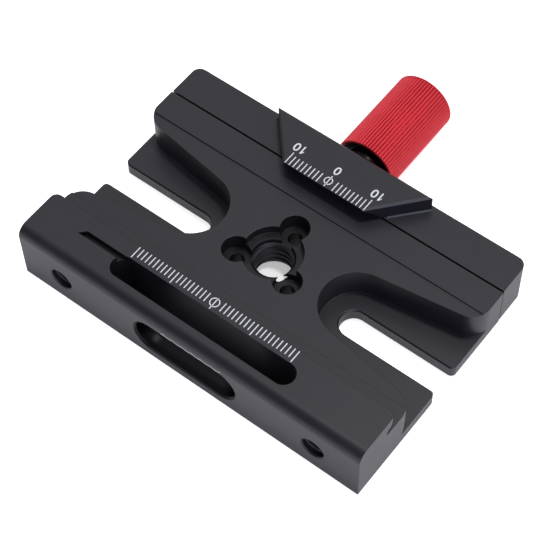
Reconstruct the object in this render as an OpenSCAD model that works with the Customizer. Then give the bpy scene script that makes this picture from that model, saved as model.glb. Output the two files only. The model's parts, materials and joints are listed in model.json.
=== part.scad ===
// Screw-knob dovetail clamp: a one-piece body with a fixed jaw along its front,
// a moving jaw bar on two guide pins behind it, and a knob that draws the two together.
// X runs along the jaws, Y from the fixed jaw to the knob, Z up.
// The origin is on the axis of the middle mounting thread, at the body's bottom face.

/* [Body] */
// Length of the body along the jaws
body_len = 85.5; // [80:0.5:100]
// Middle thread axis to the front face of the fixed jaw
front_d = 29.1; // [28.9:0.1:32]
// Middle thread axis to the back face of the body
back_d = 19.8; // [19.7:0.05:23]
// Height of the two strips that a plate rests on
seat_h = 10.85; // [10.5:0.05:11]
// How far the middle field lies below the strips
field_drop = 0.3; // [0.1:0.05:0.6]
// Middle thread axis to the edge of each strip
strip_d = 13.3; // [12.8:0.1:14]
// Thickness of the tongues at both ends
tongue_h = 3; // [2:0.05:4]

/* [Jaws] */
// Height of the fixed jaw
rail_h = 15.3; // [15:0.1:17]
// Radius of the fixed jaw's front edge
rail_round = 2.6; // [1:0.1:3]
// Middle thread axis to the fixed jaw's lip
fixed_lip_d = 17.35; // [17:0.05:17.45]
// How far each lip reaches over its root
lip_reach = 2.75; // [2:0.05:2.8]
// Corner radius at the ends of the fixed lip
lip_round = 1.6; // [0.6:0.1:2]
// Height of the moving jaw
jaw_h = 15; // [14.8:0.1:16.5]
// Middle thread axis to the moving jaw's lip
moving_lip_d = 16.8; // [16.5:0.1:17.1]
// Width of the moving jaw at its lip
jaw_lip_w = 20.4; // [16:0.2:22]
// Angle by which each side of the moving jaw leans outward
jaw_flare = 41; // [30:1:44]
// How far the raised part's back stands in front of the bar's back
jaw_back_step = 0.95; // [0.8:0.05:2.5]
// Bevel along the sides and back of the raised part
jaw_bevel = 0.4; // [0.2:0.1:0.8]
// How much shorter than the body the moving jaw's bar is at each end
bar_short = 0.1; // [0.05:0.05:3]
// Depth of the bar, front to back
bar_depth = 8.6; // [8.6:0.1:12]
// Corner radius at the back of the bar
bar_round = 2; // [0.5:0.1:3]
// Gap between the body and the bar
bar_gap = 0.4; // [0.35:0.05:1]
// How far the jaw opens from here
travel = 5; // [3:0.5:5]
// How far the jaw still closes from here
squeeze = 0.3; // [0:0.05:0.3]

/* [End pockets and slots] */
// Radius of a pocket's round inner end
pocket_r = 8; // [6:0.1:8.2]
// Middle thread axis to the centre of that round end
pocket_x = 21.2; // [20.5:0.1:24]
// Angle by which each pocket side leans outward
pocket_flare = 8.5; // [0:0.5:9]
// Radius that rounds each strip's end into its pocket
strip_round = 4.5; // [1:0.1:4.6]
// Width of the open slot in each tongue
slot_w = 6.3; // [5:0.1:9]
// Middle thread axis to the centre of a slot's round end
slot_x = 20.6; // [19.5:0.1:26]
// Bevel along each slot's upper edge
slot_bevel = 0.3; // [0.1:0.05:0.6]
// Radius at the corners of a slot's mouth
mouth_round = 1.2; // [0.3:0.1:3]

/* [Fixed jaw openings] */
// Length of the slot in the jaw's top
top_slot_len = 45.4; // [30:0.2:52]
// Width of the slot in the jaw's top
top_slot_w = 5.1; // [3:0.1:5.1]
// Front face to the middle of the top slot
top_slot_d = 5.95; // [5.9:0.05:6]
// Length of the slot in the jaw's front
front_slot_len = 25.2; // [12:0.2:36]
// Height of the slot in the jaw's front
front_slot_h = 8.6; // [5:0.1:8.8]
// Height of the middle of the front slot
front_slot_z = 6.9; // [6.9:0.1:7.2]
// Bevel round the front slot's mouth
front_slot_bevel = 0.5; // [0.2:0.1:0.8]
// Length of the narrow groove at the end of the top slot
groove_len = 10; // [4:0.5:10]
// Width of the narrow groove
groove_w = 1.4; // [0.8:0.1:2]
// Depth of the narrow groove
groove_deep = 1.5; // [0.5:0.1:2]
// Diameter of the two threaded holes in the front
side_thread_d = 5.2; // [4:0.1:6.4]
// Distance between the two threaded holes
side_thread_gap = 64; // [60:1:70]
// Height of the two threaded holes
side_thread_z = 6.4; // [5:0.1:8]
// Depth of the two threaded holes
side_thread_deep = 8; // [5:0.5:8]
// Bevel at the mouth of each threaded hole
side_thread_bevel = 0.25; // [0.1:0.05:0.5]

/* [Middle mounting] */
// Diameter of the middle thread
mount_thread_d = 9.525; // [6.35:0.005:9.525]
// Diameter of the recess round the middle thread
recess_d = 12.9; // [11:0.1:13.4]
// Depth of that recess below the middle field
recess_deep = 2.2; // [1:0.1:3]
// Diameter of the circle of screw holes
screw_circle_d = 15; // [14:0.1:15.2]
// Diameter of each screw's head recess
head_hole_d = 6.3; // [5.8:0.1:6.6]
// Depth of the head recess below the middle field
head_hole_deep = 4; // [3:0.1:5]
// Diameter of each screw's through hole
screw_hole_d = 3.2; // [2.5:0.1:3.6]

/* [Knob and screw] */
// Height of the screw's axis
axis_z = 5.2; // [5:0.1:5.8]
// Diameter of the knob
knob_d = 14; // [12:0.2:18]
// Length of the knob's grip
knob_len = 22.4; // [18:0.1:26]
// Radius of the knob's outer rim
knob_rim = 0.5; // [0.3:0.1:2]
// Diameter of the knob's neck
neck_d = 9; // [8.6:0.1:10.4]
// Length of the knob's neck
neck_len = 1.4; // [0.8:0.1:3]
// Outside diameter of the clamp screw, taken at the middle of its thread
screw_d = 5.35; // [5:0.05:5.4]
// Diameter of the screw's plain part, in the bar and the knob
shank_d = 6; // [5.6:0.1:6]
// Outside diameter of the steel thread sleeve in the body
sleeve_d = 7.5; // [7:0.1:8]
// Length of that sleeve
sleeve_len = 7.7; // [7:0.1:8]
// Diameter of the flat washer
washer_d = 10.6; // [9:0.2:10.8]
// Thickness of the flat washer
washer_t = 1; // [0.6:0.1:1.5]
// Height of the dished spring washer
dish_h = 0.9; // [0.7:0.1:1.2]
// Outside diameter of the retaining clip
clip_d = 9; // [8:0.1:9]
// Thickness of the retaining clip
clip_t = 0.7; // [0.5:0.1:0.8]

/* [Guides and springs] */
// Diameter of a guide pin
pin_d = 4; // [3:0.1:4.2]
// Middle to the axis of each guide pin
pin_x = 24; // [23.5:0.5:27]
// Height of the guide pins and springs
guide_z = 5.4; // [5.2:0.1:5.6]
// How deep a guide pin sits in the bar
pin_grip = 6.6; // [5:0.1:7]
// Middle to the axis of each spring
spring_x = 13; // [12:0.5:14]
// Outside diameter of a spring
spring_d = 3.8; // [3:0.1:4]
// Wire diameter of a spring
spring_wire = 0.5; // [0.4:0.05:0.6]
// Number of turns in a spring
spring_turns = 9; // [7:1:11]
// Depth of a spring's pocket in the body
spring_deep = 8; // [6:0.5:8]
// Depth of a spring's pocket in the bar
spring_deep_bar = 4; // [3:0.5:5]
// Diameter of a travel-limit screw
stop_d = 3; // [2.5:0.5:3]

/* [Hidden] */
$fn = 64;

// Radial clearance of a part that slides or turns
run_gap = 0.05;
// Radial clearance of a part that is pressed or screwed in
set_gap = 0.02;
// How far a cutting shape runs past the face it cuts
over = 1;
// Number of screw holes round the middle thread
screw_count = 3;

half_len = body_len / 2;
field_h = seat_h - field_drop;
root_d = fixed_lip_d + lip_reach;
root_z = seat_h + 1;
flank_top = root_z + lip_reach;
bar_len = body_len - 2 * bar_short;
bar_front = back_d + bar_gap;
bar_back = bar_front + bar_depth;
jaw_back_d = bar_back - jaw_back_step;
nose_rise = 0.25;
slot_floor = front_slot_z - front_slot_h / 2;
top_slot_y = top_slot_d - front_d;
top_slot_x = 0.25;
side_thread_x = -0.25;

pocket_tan = tan(pocket_flare);
pocket_touch = [pocket_x - pocket_r * sin(pocket_flare), pocket_r * cos(pocket_flare)];
function pocket_side(x) = pocket_touch[1] + (x - pocket_touch[0]) * pocket_tan;
strip_end_x = half_len - strip_round;
strip_end_y = pocket_side(strip_end_x) + strip_round / cos(pocket_flare);
strip_touch_x = strip_end_x + strip_round * sin(pocket_flare);

sleeve_inset = 0.2;
screw_end_gap = 0.5;
sleeve_y = back_d - sleeve_inset - sleeve_len;
screw_tip_y = sleeve_y + 0.05;
screw_bore_end = screw_tip_y - screw_end_gap;
clip_seat_deep = 1.6;
clip_inset = 0.15;
clip_y = bar_front + clip_seat_deep - clip_inset - clip_t;
clip_groove_d = 4.2;
clip_gap_w = 3;
dish_wall = 0.5;
washer_y = bar_back;
dish_y = washer_y + washer_t;
neck_y = dish_y + dish_h;
knob_y = neck_y + neck_len;
knob_end = knob_y + knob_len;
end_head_d = 5.5;
end_head_h = 3;
end_seat_deep = 4;
end_screw_d = 3;
end_screw_len = 8;
knob_web = 2;
shank_end = knob_end - end_seat_deep - knob_web;
hex_af = 2.5;

stop_tip_d = 2;
stop_tip_h = 1.2;
stop_inset = 0.3;
stop_wall = 1;
stop_y = back_d - stop_wall - stop_d / 2 - set_gap;
stop_slot_gap = 0.1;
pin_slot_deep = 0.9;
stop_tip_z = guide_z - pin_d / 2 + pin_slot_deep - 0.2;
pin_slot_low = stop_y - travel - stop_tip_d / 2 - stop_slot_gap;
pin_slot_high = stop_y + stop_tip_d / 2 + squeeze + 2 * stop_slot_gap;
pin_tip_wall = 1.2;
pin_low = pin_slot_low - pin_tip_wall;
pin_bore_end = pin_low - squeeze - 0.1;
pin_high = bar_front + pin_grip;
spring_hole_d = spring_d + 0.8;
spring_low = back_d - spring_deep;
spring_high = bar_front + spring_deep_bar;

black = [0.06, 0.06, 0.065];
steel = [0.62, 0.63, 0.65];
spring_steel = [0.5, 0.51, 0.53];
brass = [0.78, 0.62, 0.3];
red = [0.75, 0.12, 0.16];

// Round bar along Y from y0 to y1
module along_y(d, y0, y1) {
    translate([0, y0, 0]) rotate([-90, 0, 0]) cylinder(d = d, h = y1 - y0);
}

// Outline in the Y-Z plane drawn out along X
module along_x(len) {
    rotate([90, 0, 90]) translate([0, 0, -len / 2]) linear_extrude(len) children();
}

// Outline with two round ends, lying along X
module round_slot(len, w) {
    for (side = [-1, 1]) translate([side * (len - w) / 2, 0]) circle(d = w);
    square([len - w, w], center = true);
}

// What is cut away to round a square corner at the origin, with the metal at -X -Y
module corner_cut(r) {
    difference() {
        translate([-r, -r]) square(r + over);
        translate([-r, -r]) circle(r);
    }
}

// Side view of the body: fixed jaw, strips and middle field
module body_outline() {
    polygon([
        [-front_d, 0], [-front_d, rail_h], [-fixed_lip_d, rail_h],
        [-fixed_lip_d, flank_top], [-root_d, root_z],
        [-root_d, seat_h], [-strip_d, seat_h], [-strip_d, field_h], [strip_d, field_h],
        [strip_d, seat_h], [back_d, seat_h], [back_d, 0]
    ]);
}

// Half of an end pocket, from its middle line to its +Y side
module half_pocket_outline() {
    past = half_len + over;
    polygon([
        [pocket_x, 0], pocket_touch, [past, pocket_side(past)], [past, 0]
    ]);
    difference() {
        polygon([
            [strip_touch_x, pocket_side(strip_touch_x)], [past, pocket_side(past)],
            [past, strip_end_y], [half_len, strip_end_y]
        ]);
        translate([strip_end_x, strip_end_y]) circle(strip_round);
    }
}

// Plan of the flared pocket at the +X end
module pocket_outline() {
    translate([pocket_x, 0]) circle(pocket_r);
    half_pocket_outline();
    mirror([0, 1]) half_pocket_outline();
}

// Plan of the open slot in the +X tongue
module tongue_slot_outline() {
    translate([slot_x, 0]) circle(d = slot_w);
    translate([slot_x, -slot_w / 2]) square([half_len - slot_x + over, slot_w]);
    for (side = [0, 1]) mirror([0, side])
        translate([half_len, slot_w / 2]) mirror([0, 1]) corner_cut(mouth_round);
}

// Bevel along the upper edge of that slot: a cone at its round end and a ridge along it
module tongue_slot_bevel() {
    low = tongue_h - slot_bevel;
    r = slot_w / 2;
    translate([slot_x, 0, low]) cylinder(r1 = r, r2 = r + 2 * slot_bevel, h = 2 * slot_bevel);
    translate([slot_x, 0, low]) rotate([90, 0, 90]) linear_extrude(half_len - slot_x + over)
        polygon([
            [-r, 0], [r, 0], [r + 2 * slot_bevel, 2 * slot_bevel], [-r - 2 * slot_bevel, 2 * slot_bevel]
        ]);
}

// Middle thread, its recess and the ring of screw holes
module middle_holes() {
    translate([0, 0, -over]) cylinder(d = mount_thread_d, h = field_h + 2 * over);
    translate([0, 0, field_h - recess_deep]) cylinder(d = recess_d, h = recess_deep + over);
    for (i = [0 : screw_count - 1]) rotate([0, 0, 90 + i * 360 / screw_count])
        translate([screw_circle_d / 2, 0, 0]) {
            translate([0, 0, -over]) cylinder(d = screw_hole_d, h = field_h);
            translate([0, 0, field_h - head_hole_deep])
                cylinder(d = head_hole_d, h = head_hole_deep + over);
        }
}

// Openings of the fixed jaw: top slot, narrow groove, front slot and two threads
module fixed_jaw_openings() {
    translate([top_slot_x, top_slot_y, slot_floor])
        linear_extrude(rail_h) round_slot(top_slot_len, top_slot_w);
    groove_x = top_slot_x - top_slot_len / 2;
    groove_y = top_slot_y + top_slot_w / 2 - 0.2;
    translate([0, 0, rail_h - groove_deep]) linear_extrude(groove_deep + over)
        polygon([
            [groove_x + top_slot_w, groove_y], [groove_x - groove_len + groove_w, groove_y],
            [groove_x - groove_len, groove_y - groove_w],
            [groove_x + top_slot_w, groove_y - groove_w]
        ]);
    translate([0, top_slot_y, front_slot_z]) rotate([90, 0, 0])
        linear_extrude(front_d) round_slot(front_slot_len, front_slot_h);
    front_slot_mouth();
    for (side = [-1, 1])
        translate([side_thread_x + side * side_thread_gap / 2, 0, side_thread_z]) {
            along_y(side_thread_d, -front_d - over, -front_d + side_thread_deep);
            side_thread_mouth();
        }
}

// Countersunk mouth of a threaded hole in the front face
module side_thread_mouth() {
    r = side_thread_d / 2;
    translate([0, -front_d + side_thread_bevel, 0]) rotate([90, 0, 0])
        cylinder(r1 = r, r2 = r + 2 * side_thread_bevel, h = 2 * side_thread_bevel);
}

// Bevelled mouth of the front slot: a cone at each round end and a ridge between them
module front_slot_mouth() {
    r = front_slot_h / 2;
    for (side = [-1, 1])
        translate([side * (front_slot_len / 2 - r), -front_d + front_slot_bevel, front_slot_z])
            rotate([90, 0, 0])
                cylinder(r1 = r, r2 = r + 2 * front_slot_bevel, h = 2 * front_slot_bevel);
    translate([0, 0, front_slot_z])
        along_x(front_slot_len - front_slot_h)
            polygon([
                [-front_d + front_slot_bevel, -r], [-front_d + front_slot_bevel, r],
                [-front_d - front_slot_bevel, r + 2 * front_slot_bevel],
                [-front_d - front_slot_bevel, -r - 2 * front_slot_bevel]
            ]);
}

// Holes in the body's back face for the sleeve, guide pins, springs and stop screws
module body_back_holes() {
    past = back_d + over;
    translate([0, 0, axis_z]) {
        along_y(sleeve_d + 2 * set_gap, sleeve_y, past);
        along_y(shank_d, screw_bore_end, past);
    }
    for (side = [-1, 1]) {
        translate([side * pin_x, 0, guide_z]) along_y(pin_d + 2 * run_gap, pin_bore_end, past);
        translate([side * spring_x, 0, guide_z]) along_y(spring_hole_d, spring_low, past);
        translate([side * pin_x, stop_y, -over])
            cylinder(d = stop_d + 2 * set_gap, h = guide_z + over);
    }
}

// Body with the fixed jaw, machined from one block
module clamp_body() {
    color(black) difference() {
        along_x(body_len) body_outline();
        along_x(body_len + 2 * over)
            translate([-front_d, rail_h]) mirror([1, 0]) corner_cut(rail_round);
        for (end = [0, 1]) mirror([end, 0, 0]) {
            translate([0, 0, tongue_h]) linear_extrude(rail_h) pocket_outline();
            translate([0, 0, -over]) linear_extrude(rail_h) tongue_slot_outline();
            tongue_slot_bevel();
            translate([half_len, -fixed_lip_d, (seat_h + root_z) / 2])
                linear_extrude(rail_h) corner_cut(lip_round);
        }
        middle_holes();
        fixed_jaw_openings();
        body_back_holes();
    }
}

// Plan of the moving jaw's raised part, from its lip to its back
module jaw_plan() {
    back_w = jaw_lip_w / 2 + (jaw_back_d - moving_lip_d) * tan(jaw_flare);
    polygon([
        [-jaw_lip_w / 2, moving_lip_d], [jaw_lip_w / 2, moving_lip_d],
        [back_w, jaw_back_d], [-back_w, jaw_back_d]
    ]);
}

// Side view of the moving jaw's raised part
module jaw_outline() {
    nose_y = moving_lip_d + lip_reach;
    nose_z = seat_h + nose_rise;
    polygon([
        [jaw_back_d, seat_h - 2], [jaw_back_d, jaw_h - jaw_bevel],
        [jaw_back_d - jaw_bevel, jaw_h],
        [moving_lip_d, jaw_h], [moving_lip_d, flank_top], [nose_y, root_z],
        [nose_y, nose_z], [bar_front, nose_z], [bar_front, seat_h - 2]
    ]);
}

// Bevel along one slanted side of the moving jaw
module jaw_side_bevel() {
    side_len = (jaw_back_d - moving_lip_d) / cos(jaw_flare);
    translate([jaw_lip_w / 2, moving_lip_d, jaw_h]) rotate([0, 0, 90 - jaw_flare])
        rotate([45, 0, 0]) translate([-over, -over * 2, -jaw_bevel / sqrt(2)])
            cube([side_len + 2 * over, over * 4, over * 4]);
}

// Moving jaw: the bar and its raised, overhanging jaw in one piece
module moving_jaw() {
    back_r = bar_round;
    color(black) difference() {
        union() {
            difference() {
                translate([-bar_len / 2, bar_front, 0]) cube([bar_len, bar_depth, seat_h]);
                for (end = [0, 1]) mirror([end, 0, 0])
                    translate([bar_len / 2, bar_back, -over])
                        linear_extrude(rail_h) corner_cut(back_r);
            }
            intersection() {
                along_x(body_len) jaw_outline();
                linear_extrude(jaw_h) jaw_plan();
            }
        }
        for (end = [0, 1]) mirror([end, 0, 0]) jaw_side_bevel();
        translate([0, 0, axis_z]) {
            along_y(clip_d + 0.6, bar_front - over, bar_front + clip_seat_deep);
            along_y(shank_d + 0.4, bar_front - over, bar_back + over);
        }
        for (side = [-1, 1]) {
            translate([side * pin_x, 0, guide_z])
                along_y(pin_d + 2 * set_gap, bar_front - over, pin_high);
            translate([side * spring_x, 0, guide_z])
                along_y(spring_hole_d, bar_front - over, spring_high);
        }
    }
}

// Guide pin, with a flat slot below for the travel-limit screw
module guide_pin(side) {
    color(steel) translate([side * pin_x, 0, guide_z]) difference() {
        along_y(pin_d, pin_low, pin_high);
        translate([-pin_d, pin_slot_low, -pin_d])
            cube([2 * pin_d, pin_slot_high - pin_slot_low, pin_d / 2 + pin_slot_deep]);
    }
}

module guide_pin_left() guide_pin(-1);
module guide_pin_right() guide_pin(1);

// One ring of points round the spring wire, t turns along it
function wire_ring(t, pitch) = [for (k = [0 : 5])
    let (r = (spring_d - spring_wire) / 2 + spring_wire / 2 * cos(60 * k))
    [r * cos(360 * t), spring_low + spring_wire / 2 + t * pitch + spring_wire / 2 * sin(60 * k),
     r * sin(360 * t)]];

// Coil spring between the body and the bar
module opening_spring(side) {
    steps = spring_turns * 12;
    pitch = (spring_high - spring_low - spring_wire) / spring_turns;
    points = [for (i = [0 : steps]) each wire_ring(i / 12, pitch)];
    walls = [for (i = [0 : steps - 1], k = [0 : 5])
        let (a = 6 * i + k, b = 6 * i + (k + 1) % 6) [a, b, b + 6, a + 6]];
    low_cap = [for (k = [5 : -1 : 0]) k];
    high_cap = [for (k = [0 : 5]) 6 * steps + k];
    color(spring_steel) translate([side * spring_x, 0, guide_z])
        polyhedron(points, concat(walls, [low_cap, high_cap]), convexity = 10);
}

module opening_spring_left() opening_spring(-1);
module opening_spring_right() opening_spring(1);

// Two set screws from below that keep the guide pins from leaving the body
module travel_stop_screws() {
    socket = 1.5;
    color(steel) for (side = [-1, 1]) translate([side * pin_x, stop_y, 0]) difference() {
        union() {
            translate([0, 0, stop_inset]) cylinder(d = stop_d, h = stop_tip_z - stop_tip_h - stop_inset);
            translate([0, 0, stop_tip_z - stop_tip_h]) cylinder(d = stop_tip_d, h = stop_tip_h);
        }
        cylinder(d = socket / cos(30), h = stop_inset + socket, $fn = 6);
    }
}

// Steel thread sleeve for the clamp screw
module thread_sleeve() {
    color(steel) translate([0, 0, axis_z]) difference() {
        along_y(sleeve_d, sleeve_y, sleeve_y + sleeve_len);
        along_y(screw_d + 2 * run_gap, sleeve_y - over, sleeve_y + sleeve_len + over);
    }
}

// Clamp screw: threaded tip, clip groove and a plain shank fixed in the knob
module clamp_screw() {
    shank_start = bar_front + clip_seat_deep - clip_inset;
    color(steel) translate([0, 0, axis_z]) difference() {
        union() {
            along_y(screw_d, screw_tip_y, clip_y);
            along_y(clip_groove_d, screw_tip_y, shank_end);
            along_y(shank_d, shank_start, shank_end);
        }
        along_y(end_screw_d + 2 * set_gap, shank_end - end_screw_len, shank_end + over);
    }
}

// Open clip in the screw's groove, which pulls the jaw along as the screw backs out
module screw_clip() {
    color(spring_steel) translate([0, 0, axis_z]) difference() {
        along_y(clip_d, clip_y, clip_y + clip_t);
        along_y(clip_groove_d + 2 * set_gap, clip_y - over, clip_y + clip_t + over);
        translate([-clip_gap_w / 2, clip_y - over, -clip_d]) cube([clip_gap_w, clip_t + 2 * over, clip_d]);
    }
}

// Flat washer between the bar and the knob
module flat_washer() {
    color(brass) translate([0, 0, axis_z]) difference() {
        along_y(washer_d, washer_y, washer_y + washer_t);
        along_y(shank_d + 4 * run_gap, washer_y - over, washer_y + washer_t + over);
    }
}

// Dished spring washer
module dished_washer() {
    inner = shank_d / 2 + 2 * run_gap;
    outer = washer_d / 2 - 0.3;
    color(spring_steel) translate([0, dish_y, axis_z]) rotate([-90, 0, 0]) rotate_extrude()
        polygon([
            [inner, dish_h - dish_wall], [outer, 0], [outer, dish_wall], [inner, dish_h]
        ]);
}

// Grip outline of the knob, from its axis outward
module knob_half_outline() {
    r = knob_d / 2;
    bevel = 0.4;
    polygon([
        [0, 0], [neck_d / 2, 0], [neck_d / 2, neck_len], [r - bevel, neck_len],
        [r, neck_len + bevel], [r, neck_len + knob_len - knob_rim],
        [r - knob_rim, neck_len + knob_len], [0, neck_len + knob_len]
    ]);
    translate([r - knob_rim, neck_len + knob_len - knob_rim]) circle(knob_rim);
}

// Knob, with the screw's shank in it from the near end and its end screw from the far end
module knob() {
    color(red) translate([0, 0, axis_z]) difference() {
        translate([0, neck_y, 0]) rotate([-90, 0, 0]) rotate_extrude() knob_half_outline();
        along_y(shank_d + 2 * set_gap, neck_y - over, shank_end);
        along_y(end_screw_d + 4 * run_gap, neck_y, knob_end);
        along_y(end_head_d + 0.6, knob_end - end_seat_deep, knob_end + over);
    }
}

// Socket-head screw that holds the knob on the clamp screw
module knob_end_screw() {
    seat = knob_end - end_seat_deep;
    color(steel) translate([0, 0, axis_z]) difference() {
        union() {
            along_y(end_head_d, seat, seat + end_head_h);
            along_y(end_screw_d, shank_end - end_screw_len + 1, seat);
        }
        translate([0, seat + end_head_h / 2, 0]) rotate([-90, 0, 0])
            cylinder(d = hex_af / cos(30), h = end_head_h, $fn = 6);
    }
}

clamp_body();
moving_jaw();
guide_pin_left();
guide_pin_right();
opening_spring_left();
opening_spring_right();
travel_stop_screws();
thread_sleeve();
clamp_screw();
screw_clip();
flat_washer();
dished_washer();
knob();
knob_end_screw();
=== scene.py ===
import json
import math

import bmesh
import bpy
from mathutils import Matrix, Vector


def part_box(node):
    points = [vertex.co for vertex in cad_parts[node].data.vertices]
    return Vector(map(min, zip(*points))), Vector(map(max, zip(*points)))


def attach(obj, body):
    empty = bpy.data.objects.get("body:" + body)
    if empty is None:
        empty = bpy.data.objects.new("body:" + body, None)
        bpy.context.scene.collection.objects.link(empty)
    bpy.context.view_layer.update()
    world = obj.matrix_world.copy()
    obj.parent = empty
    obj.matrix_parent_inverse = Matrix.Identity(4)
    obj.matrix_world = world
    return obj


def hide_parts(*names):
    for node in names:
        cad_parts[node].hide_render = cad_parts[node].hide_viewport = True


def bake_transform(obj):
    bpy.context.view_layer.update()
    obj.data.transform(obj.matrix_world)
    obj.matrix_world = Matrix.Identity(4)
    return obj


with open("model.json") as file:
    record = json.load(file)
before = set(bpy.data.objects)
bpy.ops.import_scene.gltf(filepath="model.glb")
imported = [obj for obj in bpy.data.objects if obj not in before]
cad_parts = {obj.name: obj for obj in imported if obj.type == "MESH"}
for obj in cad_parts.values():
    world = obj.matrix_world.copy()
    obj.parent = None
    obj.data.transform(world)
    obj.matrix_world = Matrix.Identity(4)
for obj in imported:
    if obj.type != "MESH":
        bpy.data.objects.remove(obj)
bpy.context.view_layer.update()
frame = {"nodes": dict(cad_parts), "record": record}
mm = 0.001
print("stage: frame loaded")


# The photograph's own view, angles in degrees, lengths in metres
photoView = {
    "azimuth": -50.87,
    "elevation": 57.135,
    "roll": -1.852,
    "distance": 0.36143,
    "target": (-0.002193, 0.001584, 0.0),
    "focal": 115.319,
}


def addCamera(view):
    azimuth, elevation, roll = (math.radians(view[k]) for k in ("azimuth", "elevation", "roll"))
    flat = math.cos(elevation)
    back = Vector((flat * math.cos(azimuth), flat * math.sin(azimuth), math.sin(elevation)))
    right = Vector((0, 0, 1)).cross(back).normalized()
    up = back.cross(right)
    turned = right * math.cos(roll) + up * math.sin(roll)
    upright = up * math.cos(roll) - right * math.sin(roll)
    place = Vector(view["target"]) + back * view["distance"]
    data = bpy.data.cameras.new("camera")
    data.sensor_width = 36
    data.lens = view["focal"]
    data.clip_start = 0.01
    camera = bpy.data.objects.new("camera", data)
    bpy.context.scene.collection.objects.link(camera)
    camera.matrix_world = Matrix.Translation(place) @ Matrix((turned, upright, back)).transposed().to_4x4()
    bpy.context.scene.camera = camera


# Node helpers
# Adds a node; settings are its own properties, inputs are values or sockets by name or number
def addNode(tree, kind, inputs=None, **settings):
    node = tree.nodes.new(kind)
    for key, value in settings.items():
        setattr(node, key, value)
    for key, value in (inputs or {}).items():
        socket = node.inputs[key]
        if isinstance(value, bpy.types.NodeSocket):
            tree.links.new(value, socket)
        else:
            socket.default_value = value
    return node


# Starts a geometry tree whose inputs carry the given names and first values
def startTree(name, values):
    kinds = {int: "NodeSocketInt", float: "NodeSocketFloat"}
    tree = bpy.data.node_groups.new(name, "GeometryNodeTree")
    tree.interface.new_socket(name="Geometry", in_out="OUTPUT", socket_type="NodeSocketGeometry")
    for label, value in values.items():
        tree.interface.new_socket(name=label, in_out="INPUT", socket_type=kinds[type(value)])
    tree.interface.new_socket(name="finish", in_out="INPUT", socket_type="NodeSocketMaterial")
    return tree, tree.nodes.new("NodeGroupInput").outputs


# Ends a geometry tree: instances made real, smooth or flat faces, one finish
def endTree(tree, geometry, finish, smooth):
    real = addNode(tree, "GeometryNodeRealizeInstances", {"Geometry": geometry})
    shaded = addNode(tree, "GeometryNodeSetShadeSmooth", {"Geometry": real.outputs[0], "Shade Smooth": smooth})
    painted = addNode(tree, "GeometryNodeSetMaterial", {"Geometry": shaded.outputs[0], "Material": finish})
    out = tree.nodes.new("NodeGroupOutput")
    tree.links.new(painted.outputs[0], out.inputs[0])


# Evaluates a geometry tree once and keeps the result as a plain mesh object
def growPiece(name, tree, values, finish, place=Matrix.Identity(4)):
    keys = {s.name: s.identifier for s in tree.interface.items_tree if s.in_out == "INPUT"}
    seed = bpy.data.objects.new(name + "Seed", bpy.data.meshes.new(name + "Seed"))
    bpy.context.scene.collection.objects.link(seed)
    modifier = seed.modifiers.new("grow", "NODES")
    modifier.node_group = tree
    for label, value in values.items():
        modifier[keys[label]] = value
    modifier[keys["finish"]] = finish
    graph = bpy.context.evaluated_depsgraph_get()
    mesh = bpy.data.meshes.new_from_object(seed.evaluated_get(graph), depsgraph=graph)
    bpy.data.objects.remove(seed)
    mesh.transform(place)
    return keepMesh(name, mesh)


# Links a mesh as a finished piece: doubles merged, faces pointing outwards
def keepMesh(name, mesh):
    work = bmesh.new()
    work.from_mesh(mesh)
    bmesh.ops.remove_doubles(work, verts=work.verts, dist=1e-7)
    bmesh.ops.recalc_face_normals(work, faces=work.faces)
    work.to_mesh(mesh)
    work.free()
    piece = bpy.data.objects.new(name, mesh)
    bpy.context.scene.collection.objects.link(piece)
    return piece


# Joins several finished pieces into the first one
def joinPieces(name, pieces):
    work = bmesh.new()
    slots = []
    for piece in pieces:
        part = piece.data
        first = len(slots)
        slots += list(part.materials)
        for polygon in part.polygons:
            polygon.material_index += first
        work.from_mesh(part)
        bpy.data.objects.remove(piece)
    mesh = bpy.data.meshes.new(name)
    work.to_mesh(mesh)
    work.free()
    for material in slots:
        mesh.materials.append(material)
    whole = bpy.data.objects.new(name, mesh)
    bpy.context.scene.collection.objects.link(whole)
    return whole


# Smooth within rounds, sharp over the given angle
def sharpenEdges(piece, degrees=28):
    work = bmesh.new()
    work.from_mesh(piece.data)
    limit = math.radians(degrees)
    for edge in work.edges:
        edge.smooth = edge.calc_face_angle(math.pi) < limit
    work.to_mesh(piece.data)
    work.free()


# Finishes
# A new material with its shader node and the object coordinates that patterns read
def startFinish(name):
    material = bpy.data.materials.new(name)
    material.use_nodes = True
    tree = material.node_tree
    shader = tree.nodes["Principled BSDF"]
    place = tree.nodes.new("ShaderNodeTexCoord").outputs["Object"]
    return material, tree, shader, place


# Mix of two colours by a factor socket
def mixColors(tree, factor, first, second):
    mix = addNode(tree, "ShaderNodeMix", {0: factor}, data_type="RGBA")
    for socket, value in zip([s for s in mix.inputs if s.type == "RGBA"], (first, second)):
        if isinstance(value, tuple):
            socket.default_value = (*value, 1)
        else:
            tree.links.new(value, socket)
    return [s for s in mix.outputs if s.type == "RGBA"][0]


# Noise between two values, as a number or a colour
def noiseBetween(tree, place, size, low, high, detail=3.0):
    noise = addNode(tree, "ShaderNodeTexNoise", {"Vector": place, "Scale": 1 / size, "Detail": detail})
    if isinstance(low, tuple):
        return mixColors(tree, noise.outputs["Fac"], low, high)
    spread = addNode(tree, "ShaderNodeMapRange", {"Value": noise.outputs["Fac"], "To Min": low, "To Max": high})
    return spread.outputs[0]


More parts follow.
